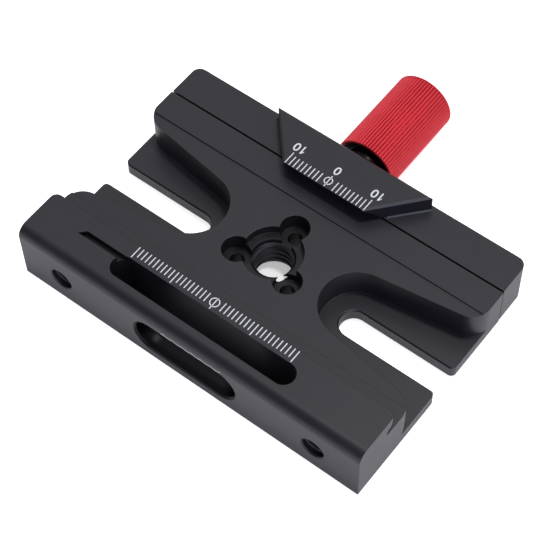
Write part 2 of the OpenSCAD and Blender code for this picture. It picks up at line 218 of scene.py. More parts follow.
# Soft edges and a fine grain in the surface normal
def softNormal(tree, place, edge, grain, depth, strength):
    bevel = addNode(tree, "ShaderNodeBevel", {"Radius": edge}, samples=6)
    noise = addNode(tree, "ShaderNodeTexNoise", {"Vector": place, "Scale": 1 / grain, "Detail": 2.0})
    bump = addNode(
        tree,
        "ShaderNodeBump",
        {
            "Strength": strength,
            "Distance": depth,
            "Height": noise.outputs["Fac"],
            "Normal": bevel.outputs[0],
        },
    )
    return bump.outputs[0]


blackFinish = {
    "dark": (0.0082, 0.0083, 0.0112),
    "light": (0.0122, 0.0123, 0.0162),
    "patch": 4 * mm,
    "grain": 0.11 * mm,
    "edge": 0.16 * mm,
    "smoothest": 0.36,
    "roughest": 0.44,
    # Painted shade: inside these boxes round the front slot, the groove and the middle recess, the colour turns
    # near-black and metallic by the given share
    "paintedShadeBoxes": {
        "frontSlot": {"middle": (0, -26.9 * mm, 6.9 * mm), "size": (25.8 * mm, 4.3 * mm, 8.9 * mm), "share": 1.0},
        "groove": {"middle": (-26.4 * mm, -21.5 * mm, 14.45 * mm), "size": (14 * mm, 1.6 * mm, 1.6 * mm), "share": 0.6},
        "recess": {"middle": (0, 0, 5.25 * mm), "size": (23 * mm, 23 * mm, 10.4 * mm), "share": 0.55},
    },
    "paintedShadeColor": (0.018, 0.018, 0.0195),
    # Painted glint: the light colour of the scalloped line at the front slot's upper edge
    "paintedGlint": (0.6, 0.6, 0.62),
    "rings": {
        "middle": (0, 0, 8.4 * mm),
        "size": (22 * mm, 22 * mm, 4.2 * mm),
        "pitch": 0.62 * mm,
        "deep": 0.05 * mm,
    },
    # Where the painted glint lies: hanging arcs along the front slot's upper edge
    "glintScallops": {
        "middle": (2 * mm, -28.85 * mm, 11.9 * mm),
        "size": (15 * mm, 1.3 * mm, 1.0 * mm),
        "pitch": 2.35 * mm,
        "top": 12.2 * mm,
        "deep": 0.35 * mm,
        "half": 0.12 * mm,
    },
}


# One inside a box given by its middle and its whole size, else nought
def insideBox(tree, place, middle, size):
    away = addNode(tree, "ShaderNodeVectorMath", {0: place, 1: middle}, operation="SUBTRACT")
    share = addNode(
        tree, "ShaderNodeVectorMath", {0: away.outputs[0], 1: tuple(2 / s for s in size)}, operation="MULTIPLY"
    )
    apart = addNode(tree, "ShaderNodeSeparateXYZ", {0: share.outputs[0]})
    within = None
    for axis in apart.outputs:
        far = addNode(tree, "ShaderNodeMath", {0: axis}, operation="ABSOLUTE")
        near = addNode(tree, "ShaderNodeMath", {0: far.outputs[0], 1: 1.0}, operation="LESS_THAN").outputs[0]
        if within:
            near = addNode(tree, "ShaderNodeMath", {0: within, 1: near}, operation="MULTIPLY").outputs[0]
        within = near
    return within


# One on a thin line of hanging arcs along X: a painted glint along the front slot's upper edge
def paintedGlintLine(tree, place, settings):
    apart = addNode(tree, "ShaderNodeSeparateXYZ", {0: place})
    turn = addNode(tree, "ShaderNodeMath", {0: apart.outputs["X"], 1: math.pi / settings["pitch"]}, operation="MULTIPLY")
    wave = addNode(tree, "ShaderNodeMath", {0: turn.outputs[0]}, operation="SINE")
    arc = addNode(tree, "ShaderNodeMath", {0: wave.outputs[0]}, operation="ABSOLUTE")
    level = addNode(
        tree, "ShaderNodeMath", {0: arc.outputs[0], 1: -settings["deep"], 2: settings["top"]}, operation="MULTIPLY_ADD"
    )
    away = addNode(tree, "ShaderNodeMath", {0: apart.outputs["Z"], 1: level.outputs[0]}, operation="SUBTRACT")
    far = addNode(tree, "ShaderNodeMath", {0: away.outputs[0]}, operation="ABSOLUTE")
    near = addNode(tree, "ShaderNodeMath", {0: far.outputs[0], 1: settings["half"]}, operation="LESS_THAN")
    box = insideBox(tree, place, settings["middle"], settings["size"])
    return addNode(tree, "ShaderNodeMath", {0: near.outputs[0], 1: box}, operation="MULTIPLY").outputs[0]


# Cutter marks as level rings on the walls inside a box
def toolRings(tree, place, normal, settings):
    level = addNode(tree, "ShaderNodeSeparateXYZ", {0: place}).outputs["Z"]
    turn = addNode(tree, "ShaderNodeMath", {0: level, 1: 2 * math.pi / settings["pitch"]}, operation="MULTIPLY")
    wave = addNode(tree, "ShaderNodeMath", {0: turn.outputs[0]}, operation="SINE")
    box = insideBox(tree, place, settings["middle"], settings["size"])
    height = addNode(tree, "ShaderNodeMath", {0: wave.outputs[0], 1: box}, operation="MULTIPLY")
    rings = {"Strength": 1.0, "Distance": settings["deep"], "Height": height.outputs[0], "Normal": normal}
    return addNode(tree, "ShaderNodeBump", rings).outputs[0]


def makeBlackAnodised(settings):
    material, tree, shader, place = startFinish("blackAnodised")
    color = noiseBetween(tree, place, settings["patch"], settings["dark"], settings["light"])
    rough = noiseBetween(tree, place, settings["grain"] * 3, settings["smoothest"], settings["roughest"])
    # Painted shade: the boxes round the hollows darken the colour and raise the metallic share
    paintedShade = 0.0
    for row in settings["paintedShadeBoxes"].values():
        box = insideBox(tree, place, row["middle"], row["size"])
        paintedShade = addNode(
            tree, "ShaderNodeMath", {0: box, 1: row["share"], 2: paintedShade}, operation="MULTIPLY_ADD"
        ).outputs[0]
    color = mixColors(tree, paintedShade, color, settings["paintedShadeColor"])
    # Painted glint: a light scalloped line at the front slot's upper edge
    paintedGlint = paintedGlintLine(tree, place, settings["glintScallops"])
    color = mixColors(tree, paintedGlint, color, settings["paintedGlint"])
    tree.links.new(paintedShade, shader.inputs["Metallic"])
    normal = softNormal(tree, place, settings["edge"], settings["grain"], 0.01 * mm, 0.12)
    normal = toolRings(tree, place, normal, settings["rings"])
    tree.links.new(color, shader.inputs["Base Color"])
    tree.links.new(rough, shader.inputs["Roughness"])
    tree.links.new(normal, shader.inputs["Normal"])
    shader.inputs["IOR"].default_value = 1.5
    return material


redFinish = {
    "dark": (0.74, 0.05, 0.066),
    "light": (0.88, 0.07, 0.09),
    "patch": 2.5 * mm,
    "grain": 0.09 * mm,
    "edge": 0.08 * mm,
    "smoothest": 0.28,
    "roughest": 0.38,
    "metal": 0.85,
    # Painted shade: the knob's neck and near face, in the gap beside the bar, take this near-black colour
    "neck": (0.007, 0.004, 0.0045),
    "neckLength": 1.45 * mm,
}


def makeRedAnodised(settings):
    material, tree, shader, place = startFinish("redAnodised")
    color = noiseBetween(tree, place, settings["patch"], settings["dark"], settings["light"])
    # Painted shade: the knob's neck and near face, up to neckLength from its near end, are coloured near-black
    along = addNode(tree, "ShaderNodeSeparateXYZ", {0: place}).outputs["Y"]
    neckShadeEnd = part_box("knob")[0].y + settings["neckLength"]
    neck = addNode(tree, "ShaderNodeMath", {0: along, 1: neckShadeEnd}, operation="LESS_THAN").outputs[0]
    color = mixColors(tree, neck, color, settings["neck"])
    rough = noiseBetween(tree, place, settings["grain"] * 3, settings["smoothest"], settings["roughest"])
    normal = softNormal(tree, place, settings["edge"], settings["grain"], 0.006 * mm, 0.1)
    tree.links.new(color, shader.inputs["Base Color"])
    tree.links.new(rough, shader.inputs["Roughness"])
    tree.links.new(normal, shader.inputs["Normal"])
    shader.inputs["Metallic"].default_value = settings["metal"]
    return material


# Bare and plated metals differ in colour, roughness and the size of their tool marks
metalFinishes = {
    "groundSteel": {"dark": (0.5, 0.5, 0.51), "light": (0.66, 0.66, 0.67), "rough": (0.2, 0.34)},
    "springSteel": {"dark": (0.3, 0.3, 0.31), "light": (0.44, 0.44, 0.45), "rough": (0.25, 0.4)},
    "blackSteel": {"dark": (0.02, 0.02, 0.021), "light": (0.04, 0.04, 0.042), "rough": (0.3, 0.45)},
    "bearingBrass": {"dark": (0.5, 0.36, 0.16), "light": (0.66, 0.5, 0.24), "rough": (0.24, 0.4)},
}


def makeMetal(name, settings):
    material, tree, shader, place = startFinish(name)
    color = noiseBetween(tree, place, 1.2 * mm, settings["dark"], settings["light"])
    rough = noiseBetween(tree, place, 0.3 * mm, *settings["rough"])
    normal = softNormal(tree, place, 0.06 * mm, 0.08 * mm, 0.004 * mm, 0.15)
    tree.links.new(color, shader.inputs["Base Color"])
    tree.links.new(rough, shader.inputs["Roughness"])
    tree.links.new(normal, shader.inputs["Normal"])
    shader.inputs["Metallic"].default_value = 1.0
    return material


printFinish = {"dark": (0.62, 0.62, 0.63), "light": (0.82, 0.82, 0.83), "rough": (0.45, 0.6)}


def makeWhitePrint(settings):
    material, tree, shader, place = startFinish("whitePrint")
    color = noiseBetween(tree, place, 0.25 * mm, settings["dark"], settings["light"])
    rough = noiseBetween(tree, place, 0.2 * mm, *settings["rough"])
    tree.links.new(color, shader.inputs["Base Color"])
    tree.links.new(rough, shader.inputs["Roughness"])
    return material


finishes = {name: makeMetal(name, settings) for name, settings in metalFinishes.items()}
finishes["blackAnodised"] = makeBlackAnodised(blackFinish)
finishes["redAnodised"] = makeRedAnodised(redFinish)
finishes["whitePrint"] = makeWhitePrint(printFinish)

# Each material slot of the record takes one finish
slotFinishes = {
    "black_anodised": "blackAnodised",
    "red_anodised": "redAnodised",
    "ground_steel": "groundSteel",
    "spring_steel": "springSteel",
    "black_steel": "blackSteel",
    "bearing_brass": "bearingBrass",
}


def paintNodes():
    for row in frame["record"]["subparts"]:
        node = frame["nodes"][row["node"]]
        finish = finishes[slotFinishes[row["material_slot"]]]
        if not node.material_slots:
            node.data.materials.append(finish)
        for slot in node.material_slots:
            slot.material = finish


paintNodes()
print("stage: finishes made")


# Scale lines, in millimetres: line places run from the middle outwards on both sides
scaleSettings = {
    "body": {
        "lines": 19,
        "first": 2.0,
        "short": 2.25,
        "long": 2.95,
        "edge": -17.4,
        "middle": 0.0,
        "top": 15.3,
        "outward": -1.0,
        "width": 0.23,
        "ring": 2.0,
        "ringGap": 1.2,
    },
    "jaw": {
        "lines": 9,
        "first": 2.0,
        "short": 2.5,
        "long": 3.1,
        "edge": 16.92,
        "middle": 0.22,
        "top": 15.0,
        "outward": 1.0,
        "width": 0.23,
        "ring": 1.75,
        "ringGap": 1.62,
    },
    "proud": 0.012,
    "sunk": 0.03,
}


# A row of thin bars 1 mm apart on both sides of the middle; every tenth place has the long one
def makeScaleTree():
    sizes = {
        "lines": 19,
        "first": 2.0,
        "short": 2.2,
        "long": 3.0,
        "width": 0.3,
        "outward": 1.0,
        "thickness": 0.04,
    }
    tree, given = startTree("scaleLines", sizes)
    bar = addNode(tree, "GeometryNodeMeshCube")
    barSize = addNode(tree, "ShaderNodeCombineXYZ", {0: given["width"], 1: 1.0, 2: given["thickness"]})
    tree.links.new(barSize.outputs[0], bar.inputs["Size"])
    half = addNode(tree, "ShaderNodeMath", {0: given["outward"], 1: 0.5}, operation="MULTIPLY")
    shift = addNode(tree, "ShaderNodeCombineXYZ", {1: half.outputs[0]})
    foot = addNode(tree, "GeometryNodeTransform", {"Geometry": bar.outputs[0], "Translation": shift.outputs[0]})
    index = addNode(tree, "GeometryNodeInputIndex")
    number = addNode(tree, "ShaderNodeMath", {0: index.outputs[0], 1: given["first"]}, operation="ADD")
    tenth = addNode(tree, "ShaderNodeMath", {0: number.outputs[0], 1: 10.0}, operation="MODULO")
    isLong = addNode(tree, "FunctionNodeCompare", {0: tenth.outputs[0], 1: 0.5}, operation="LESS_THAN")
    length = addNode(
        tree,
        "GeometryNodeSwitch",
        {0: isLong.outputs[0], 1: given["short"], 2: given["long"]},
        input_type="FLOAT",
    )
    stretch = addNode(tree, "ShaderNodeCombineXYZ", {0: 1.0, 1: length.outputs[0], 2: 1.0})
    join = tree.nodes.new("GeometryNodeJoinGeometry")
    for side in (1.0, -1.0):
        start = addNode(tree, "ShaderNodeMath", {0: given["first"], 1: side}, operation="MULTIPLY")
        startPlace = addNode(tree, "ShaderNodeCombineXYZ", {0: start.outputs[0]})
        row = addNode(
            tree,
            "GeometryNodeMeshLine",
            {"Count": given["lines"], "Start Location": startPlace.outputs[0], "Offset": (side, 0, 0)},
        )
        bars = addNode(
            tree,
            "GeometryNodeInstanceOnPoints",
            {"Points": row.outputs[0], "Instance": foot.outputs[0], "Scale": stretch.outputs[0]},
        )
        tree.links.new(bars.outputs[0], join.inputs[0])
    endTree(tree, join.outputs[0], given["finish"], False)
    return tree


# A flat ring with a bar through it, the zero mark
def makeZeroMarkTree():
    sizes = {"ring": 2.0, "width": 0.3, "length": 3.0, "ringPlace": 1.0, "barPlace": 1.5, "thickness": 0.04}
    tree, given = startTree("zeroMark", sizes)
    radius = addNode(tree, "ShaderNodeMath", {0: given["ring"], 1: 0.5}, operation="MULTIPLY")
    path = addNode(tree, "GeometryNodeCurvePrimitiveCircle", {"Resolution": 40, "Radius": radius.outputs[0]})
    section = addNode(
        tree,
        "GeometryNodeCurvePrimitiveQuadrilateral",
        {"Width": given["width"], "Height": given["thickness"]},
    )
    ring = addNode(
        tree, "GeometryNodeCurveToMesh", {"Curve": path.outputs[0], "Profile Curve": section.outputs[0]}
    )
    ringShift = addNode(tree, "ShaderNodeCombineXYZ", {1: given["ringPlace"]})
    ringAt = addNode(
        tree, "GeometryNodeTransform", {"Geometry": ring.outputs[0], "Translation": ringShift.outputs[0]}
    )
    barSize = addNode(
        tree, "ShaderNodeCombineXYZ", {0: given["width"], 1: given["length"], 2: given["thickness"]}
    )
    bar = addNode(tree, "GeometryNodeMeshCube", {"Size": barSize.outputs[0]})
    barShift = addNode(tree, "ShaderNodeCombineXYZ", {1: given["barPlace"]})
    barAt = addNode(
        tree, "GeometryNodeTransform", {"Geometry": bar.outputs[0], "Translation": barShift.outputs[0]}
    )
    join = addNode(tree, "GeometryNodeJoinGeometry")
    tree.links.new(ringAt.outputs[0], join.inputs[0])
    tree.links.new(barAt.outputs[0], join.inputs[0])
    endTree(tree, join.outputs[0], given["finish"], False)
    return tree


def makeScale(name, body, settings, trees):
    thickness = scaleSettings["proud"] + scaleSettings["sunk"]
    level = settings["top"] + scaleSettings["proud"] - thickness / 2
    place = Matrix.Scale(mm, 4) @ Matrix.Translation((settings["middle"], settings["edge"], level))
    lines = {k: settings[k] for k in ("lines", "first", "short", "long", "width", "outward")}
    rows = growPiece(name + "Rows", trees[0], {**lines, "thickness": thickness}, finishes["whitePrint"], place)
    zero = {
        "ring": settings["ring"],
        "width": settings["width"],
        "length": settings["long"],
        "ringPlace": settings["outward"] * settings["ringGap"],
        "barPlace": settings["outward"] * settings["long"] / 2,
        "thickness": thickness,
    }
    mark = growPiece(name + "Zero", trees[1], zero, finishes["whitePrint"], place)
    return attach(joinPieces(name, [rows, mark]), body)


scaleTrees = (makeScaleTree(), makeZeroMarkTree())
makeScale("bodyScale", "base", scaleSettings["body"], scaleTrees)
makeScale("jawScale", "jaw", scaleSettings["jaw"], scaleTrees)

# Numbers on the moving jaw, read from the knob's side; places are of each nought, a one stands beside it
numberSettings = {
    "height": 2.15,
    "middle": 21.62,
    "weight": 0.012,
    "gap": 1.45,
    "noughts": ((-10.13, True), (0.3, False), (9.71, True)),
    "one": ((0.17, -0.5), (0.17, 0.5), (-0.12, 0.5), (-0.52, 0.2), (-0.52, 0.04), (-0.15, 0.27), (-0.15, -0.5)),
}


def makeNought(settings):
    curve = bpy.data.curves.new("number", "FONT")
    curve.body = "0"
    curve.extrude = 0.02
    curve.offset = settings["weight"]
    shape = bpy.data.objects.new("number", curve)
    bpy.context.scene.collection.objects.link(shape)
    graph = bpy.context.evaluated_depsgraph_get()
    mesh = bpy.data.meshes.new_from_object(shape.evaluated_get(graph), depsgraph=graph)
    bpy.data.objects.remove(shape)
    xs = [v.co.x for v in mesh.vertices]
    ys = [v.co.y for v in mesh.vertices]
    size = settings["height"] / (max(ys) - min(ys))
    mesh.transform(Matrix.Translation((-(max(xs) + min(xs)) / 2, -(max(ys) + min(ys)) / 2, 0)))
    mesh.transform(Matrix.Diagonal((size, size, 1, 1)))
    return mesh


def makeOne(settings):
    work = bmesh.new()
    h = settings["height"]
    low = [work.verts.new((x, y * h, -0.02)) for x, y in settings["one"]]
    high = [work.verts.new((x, y * h, 0.02)) for x, y in settings["one"]]
    work.faces.new(low)
    work.faces.new(high)
    for i in range(len(low)):
        n = (i + 1) % len(low)
        work.faces.new((low[i], low[n], high[n], high[i]))
    mesh = bpy.data.meshes.new("number")
    work.to_mesh(mesh)
    work.free()
    return mesh


def makeNumbers(settings):
    pieces = []
    top = scaleSettings["jaw"]["top"] + scaleSettings["proud"] - 0.02
    turn = Matrix.Rotation(math.pi, 4, "Z")
    for x, hasOne in settings["noughts"]:
        marks = [(makeNought(settings), x)]
        if hasOne:
            marks.append((makeOne(settings), x + settings["gap"]))
        for mesh, place in marks:
            mesh.transform(Matrix.Scale(mm, 4) @ Matrix.Translation((place, settings["middle"], top)) @ turn)
            mesh.materials.clear()
            mesh.materials.append(finishes["whitePrint"])
            pieces.append(keepMesh("number", mesh))
    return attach(joinPieces("jawNumbers", pieces), "jaw")


makeNumbers(numberSettings)
print("stage: scales made")


# A tube that follows a coil along Z: threads and springs
def makeCoilTree():
    sizes = {
        "turns": 5.0,
        "radius": 4.0,
        "height": 8.0,
        "section": 0.6,
        "corners": 4,
        "steps": 48,
    }
    tree, given = startTree("coil", sizes)
    coil = addNode(
        tree,
        "GeometryNodeCurveSpiral",
        {
            "Resolution": given["steps"],
            "Rotations": given["turns"],
            "Start Radius": given["radius"],
            "End Radius": given["radius"],
            "Height": given["height"],
        },
    )
    level = addNode(tree, "GeometryNodeSetCurveNormal", {"Curve": coil.outputs[0]}, mode="Z_UP")
    section = addNode(
        tree,
        "GeometryNodeCurvePrimitiveCircle",
        {"Resolution": given["corners"], "Radius": given["section"]},
    )
    tube = addNode(
        tree,
        "GeometryNodeCurveToMesh",
        {"Curve": level.outputs[0], "Profile Curve": section.outputs[0], "Fill Caps": True},
    )
    endTree(tree, tube.outputs[0], given["finish"], True)
    return tree


coilTree = makeCoilTree()
alongY = Matrix.Rotation(-math.pi / 2, 4, "X")

# Threads: they stand in from the hole's wall, in millimetres; the heads' recesses cut the middle one
threadSettings = {
    "middleThread": {
        "body": "base",
        "finish": "blackAnodised",
        "start": (0, 0, 0.7),
        "turn": Matrix.Identity(4),
        "pitch": 1.5875,
        "length": 6.95,
        "radius": 4.45,
        "deep": 0.86,
        "crest": 0.42,
        "foot": 1.54,
        "cuts": ((90, 3.15, 6.55), (210, 3.15, 6.55), (330, 3.6, 5.6)),
        "circle": 7.5,
    },
    "sideThreadLeft": {
        "body": "base",
        "finish": "blackAnodised",
        "start": (-32.25, -28.3, 6.4),
        "turn": alongY,
        "pitch": 1.27,
        "length": 7.0,
        "radius": 2.42,
        "deep": 0.56,
        "crest": 0.34,
        "foot": 1.0,
        "cuts": None,
    },
}
threadSettings["sideThreadRight"] = {**threadSettings["sideThreadLeft"], "start": (31.75, -28.3, 6.4)}


# A coil whose section is narrower at the crest than at the foot
def makeThreadTree():
    sizes = {"turns": 5.0, "radius": 4.0, "height": 8.0, "deep": 0.8, "crest": 0.4, "foot": 1.3, "steps": 48}
    tree, given = startTree("thread", sizes)
    coil = addNode(
        tree,
        "GeometryNodeCurveSpiral",
        {
            "Resolution": given["steps"],
            "Rotations": given["turns"],
            "Start Radius": given["radius"],
            "End Radius": given["radius"],
            "Height": given["height"],
        },
    )
    level = addNode(tree, "GeometryNodeSetCurveNormal", {"Curve": coil.outputs[0]}, mode="Z_UP")
    section = addNode(
        tree,
        "GeometryNodeCurvePrimitiveQuadrilateral",
        {
            "Height": given["deep"],
            "Bottom Width": given["crest"],
            "Top Width": given["foot"],
            "Offset": 0.0,
        },
        mode="TRAPEZOID",
    )
    turned = addNode(
        tree,
        "GeometryNodeTransform",
        {"Geometry": section.outputs[0], "Rotation": (0, 0, math.pi / 2)},
    )
    bar = addNode(
        tree,
        "GeometryNodeCurveToMesh",
        {"Curve": level.outputs[0], "Profile Curve": turned.outputs[0], "Fill Caps": True},
    )
    endTree(tree, bar.outputs[0], given["finish"], True)
    return tree


# Small fillets where the raised jaw's two flanks meet the bar, in millimetres; the flanks run straight in plan
filletSettings = {
    "start": (13.52, 20.66),
    "end": (19.85, 27.75),
    "level": 10.85,
    "leg": 0.36,
    "sunk": 0.05,
}


def makeFillets(settings):
    pieces = []
    leg, sunk = settings["leg"], settings["sunk"]
    section = ((-sunk, -sunk), (leg, -sunk), (leg * 0.42, leg * 0.42), (-sunk, leg))
    for side in (1, -1):
        first, last = (Vector((side * x, y, settings["level"])) for x, y in (settings["start"], settings["end"]))
        along = (last - first).normalized()
        outward = Vector((side * along.y, -abs(along.x), 0))
        work = bmesh.new()
        rows = []
        for corner in (first, last):
            rows.append([work.verts.new((corner + outward * u + Vector((0, 0, v))) * mm) for u, v in section])
        count = len(section)
        work.faces.new(rows[0])
        work.faces.new(rows[1])
        for i in range(count):
            n = (i + 1) % count
            work.faces.new((rows[0][i], rows[0][n], rows[1][n], rows[1][i]))
        mesh = bpy.data.meshes.new("fillet")
        work.to_mesh(mesh)
        work.free()
        mesh.materials.append(finishes["blackAnodised"])
        pieces.append(keepMesh("fillet", mesh))
    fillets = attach(joinPieces("jawFillets", pieces), "jaw")


makeFillets(filletSettings)


# Takes round recesses out of a piece
def cutRecesses(piece, cuts, circle):
    work = bmesh.new()
    for angle, radius, low in cuts:
        turn = math.radians(angle)
        middle = Vector((math.cos(turn) * circle, math.sin(turn) * circle, low + 5))
        bmesh.ops.create_cone(
            work,
            cap_ends=True,
            segments=64,
            radius1=radius * mm,
            radius2=radius * mm,
            depth=10 * mm,
            matrix=Matrix.Translation(middle * mm),
        )
    mesh = bpy.data.meshes.new("recesses")
    work.to_mesh(mesh)
    work.free()
    tool = bpy.data.objects.new("recesses", mesh)
    bpy.context.scene.collection.objects.link(tool)
    modifier = piece.modifiers.new("cut", "BOOLEAN")
    modifier.operation = "DIFFERENCE"
    modifier.solver = "EXACT"
    modifier.object = tool
    graph = bpy.context.evaluated_depsgraph_get()
    cut = bpy.data.meshes.new_from_object(piece.evaluated_get(graph), depsgraph=graph)
    name = piece.name
    bpy.data.objects.remove(tool)
    bpy.data.objects.remove(piece)
    return keepMesh(name, cut)


def makeThread(name, settings, tree):
    place = Matrix.Scale(mm, 4) @ Matrix.Translation(settings["start"]) @ settings["turn"]
    sizes = {
        "turns": settings["length"] / settings["pitch"],
        "radius": settings["radius"],
        "height": settings["length"],
        "deep": settings["deep"],
        "crest": settings["crest"],
        "foot": settings["foot"],
        "steps": 56,
    }
    piece = growPiece(name, tree, sizes, finishes[settings["finish"]], place)
    if settings["cuts"]:
        piece = cutRecesses(piece, settings["cuts"], settings["circle"])
    sharpenEdges(piece)
    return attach(piece, settings["body"])


threadTree = makeThreadTree()
for threadName, threadRow in threadSettings.items():
    thread = makeThread(threadName, threadRow, threadTree)

# Opening springs, in millimetres
springSettings = {"turns": 9.0, "wire": 0.5, "outside": 3.8, "corners": 10, "steps": 28}


def makeSpring(side):
    node = "opening_spring_" + side
    low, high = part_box(node)
    wire = springSettings["wire"]
    middle = Vector(((low.x + high.x) / 2, low.y, (low.z + high.z) / 2)) / mm
    length = (high.y - low.y) / mm
    place = Matrix.Scale(mm, 4) @ Matrix.Translation(middle + Vector((0, wire / 2, 0))) @ alongY
    sizes = {
        "turns": springSettings["turns"],
        "radius": (springSettings["outside"] - wire) / 2,
        "height": length - wire,
        "section": wire / 2,
        "corners": springSettings["corners"],
        "steps": springSettings["steps"],
    }
    spring = growPiece("spring" + side.capitalize(), coilTree, sizes, finishes["springSteel"], place)
    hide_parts(node)
    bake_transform(spring)


makeSpring("left")
makeSpring("right")
print("stage: threads and springs made")


# A closed ring-shaped body turned about an axis along Y; the outline is (radius, y) pairs in millimetres
def turnOutline(name, outline, center, finish, steps=128):
    work = bmesh.new()
    rings = []
    for i in range(steps):
        angle = 2 * math.pi * i / steps
        rings.append(
            [
                work.verts.new(
                    (
                        (center[0] + r * math.cos(angle)) * mm,
                        y * mm,
                        (center[1] + r * math.sin(angle)) * mm,
                    )
                )
                for r, y in outline
            ]
        )
    for i in range(steps):
        here, there = rings[i], rings[(i + 1) % steps]
        for k in range(len(outline)):
            n = (k + 1) % len(outline)
            face = work.faces.new((here[k], here[n], there[n], there[k]))
            face.smooth = True
    mesh = bpy.data.meshes.new(name)
    work.to_mesh(mesh)
    work.free()
    mesh.materials.append(finish)
    return keepMesh(name, mesh)


# Knob, in millimetres; the ribs run along the grip
knobSettings = {
    "ribs": 60,
    "ribSection": 0.33,
    "valley": 6.62,
    "rim": 0.5,
    "neck": 4.5,
    "neckLength": 1.4,
    "bore": 3.02,
    "screwBore": 1.6,
    "seat": 3.05,
    "seatDeep": 4.0,
    "web": 2.0,
    "edge": 0.25,
}


# Rounded bars round the Y axis, their ends sunk in the grip
def makeRibTree():
    sizes = {"ribs": 72, "radius": 6.7, "section": 0.3, "length": 20.0, "corners": 8}
    tree, given = startTree("ribs", sizes)
    end = addNode(tree, "ShaderNodeCombineXYZ", {0: given["radius"], 1: given["length"]})
    start = addNode(tree, "ShaderNodeCombineXYZ", {0: given["radius"]})
    line = addNode(tree, "GeometryNodeCurvePrimitiveLine", {"Start": start.outputs[0], "End": end.outputs[0]})
    section = addNode(
        tree,
        "GeometryNodeCurvePrimitiveCircle",
        {"Resolution": given["corners"], "Radius": given["section"]},
    )
    rib = addNode(
        tree,
        "GeometryNodeCurveToMesh",
        {"Curve": line.outputs[0], "Profile Curve": section.outputs[0], "Fill Caps": True},
    )
    points = addNode(tree, "GeometryNodeMeshLine", {"Count": given["ribs"], "Offset": (0, 0, 0)})
    index = addNode(tree, "GeometryNodeInputIndex")
    share = addNode(tree, "ShaderNodeMath", {0: index.outputs[0], 1: given["ribs"]}, operation="DIVIDE")
    angle = addNode(tree, "ShaderNodeMath", {0: share.outputs[0], 1: 2 * math.pi}, operation="MULTIPLY")
    turn = addNode(tree, "ShaderNodeCombineXYZ", {1: angle.outputs[0]})
    ring = addNode(
        tree,
        "GeometryNodeInstanceOnPoints",
        {"Points": points.outputs[0], "Instance": rib.outputs[0], "Rotation": turn.outputs[0]},
    )
    endTree(tree, ring.outputs[0], given["finish"], True)
    return tree


def makeKnob(settings):
    low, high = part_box("knob")
    radius = (high.x - low.x) / 2 / mm
    start, end = low.y / mm, high.y / mm
    axisZ = (low.z + high.z) / 2 / mm
    grip = start + settings["neckLength"]
    rim = settings["rim"]
    valley = settings["valley"]
    edge = settings["edge"]
    outline = [
        (settings["bore"], start),
        (settings["neck"] - 0.15, start),
        (settings["neck"], start + 0.15),
        (settings["neck"], grip),
        (valley - edge, grip),
        (valley, grip + edge),
        (valley, end - rim),
    ]
    for i in range(9):
        angle = math.pi / 2 * i / 8
        outline.append((radius - rim + rim * math.cos(angle), end - rim + rim * math.sin(angle)))
    outline += [
        (settings["seat"] + 0.3, end),
        (settings["seat"], end - 0.3),
        (settings["seat"], end - settings["seatDeep"]),
        (settings["screwBore"], end - settings["seatDeep"]),
        (settings["screwBore"], end - settings["seatDeep"] - settings["web"]),
        (settings["bore"], end - settings["seatDeep"] - settings["web"]),
    ]
    core = turnOutline("knobCore", outline, (0, axisZ), finishes["redAnodised"], 144)
    section = settings["ribSection"]
    sizes = {
        "ribs": settings["ribs"],
        "radius": radius - section,
        "section": section,
        "length": end - rim - grip - 0.1,
        "corners": 8,
    }
    place = Matrix.Scale(mm, 4) @ Matrix.Translation((0, grip + 0.1, axisZ))
    ribs = growPiece("knobRibs", makeRibTree(), sizes, finishes["redAnodised"], place)
    knob = joinPieces("redKnob", [core, ribs])
    sharpenEdges(knob, 50)
    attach(knob, "grip")
    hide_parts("knob")


makeKnob(knobSettings)

# Clamp screw, in millimetres: its thread shows in the gap when the jaw is open
screwSettings = {"core": 2.42, "section": 0.34, "pitch": 1.0, "groove": 2.1, "shank": 3.0, "bore": 1.5}


def makeClampScrew(settings):
    low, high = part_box("clamp_screw")
    clipLow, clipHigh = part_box("screw_clip")
    start, end = low.y / mm, high.y / mm
    grooveLow, grooveHigh = clipLow.y / mm, clipHigh.y / mm
    axisZ = (low.z + high.z) / 2 / mm
    core, groove, shank, bore = (settings[k] for k in ("core", "groove", "shank", "bore"))
    outline = [
        (0.02, start),
        (core - 0.5, start),
        (core, start + 0.5),
        (core, grooveLow),
        (groove, grooveLow),
        (groove, grooveHigh),
        (shank, grooveHigh),
        (shank, end - 0.3),
        (shank - 0.3, end),
        (bore, end),
        (bore, end - 8),
        (0.02, end - 8),
    ]
    body = turnOutline("screwBody", outline, (0, axisZ), finishes["groundSteel"], 64)
    length = grooveLow - start - 0.8
    sizes = {
        "turns": length / settings["pitch"],
        "radius": core + 0.27 - settings["section"],
        "height": length,
        "section": settings["section"],
        "corners": 4,
        "steps": 40,
    }
    place = Matrix.Scale(mm, 4) @ Matrix.Translation((0, start + 0.5, axisZ)) @ alongY
    thread = growPiece("screwThread", coilTree, sizes, finishes["groundSteel"], place)
    screw = joinPieces("clampScrew", [body, thread])
    sharpenEdges(screw)
    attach(screw, "grip")
    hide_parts("clamp_screw")


makeClampScrew(screwSettings)
print("stage: knob and screw made")


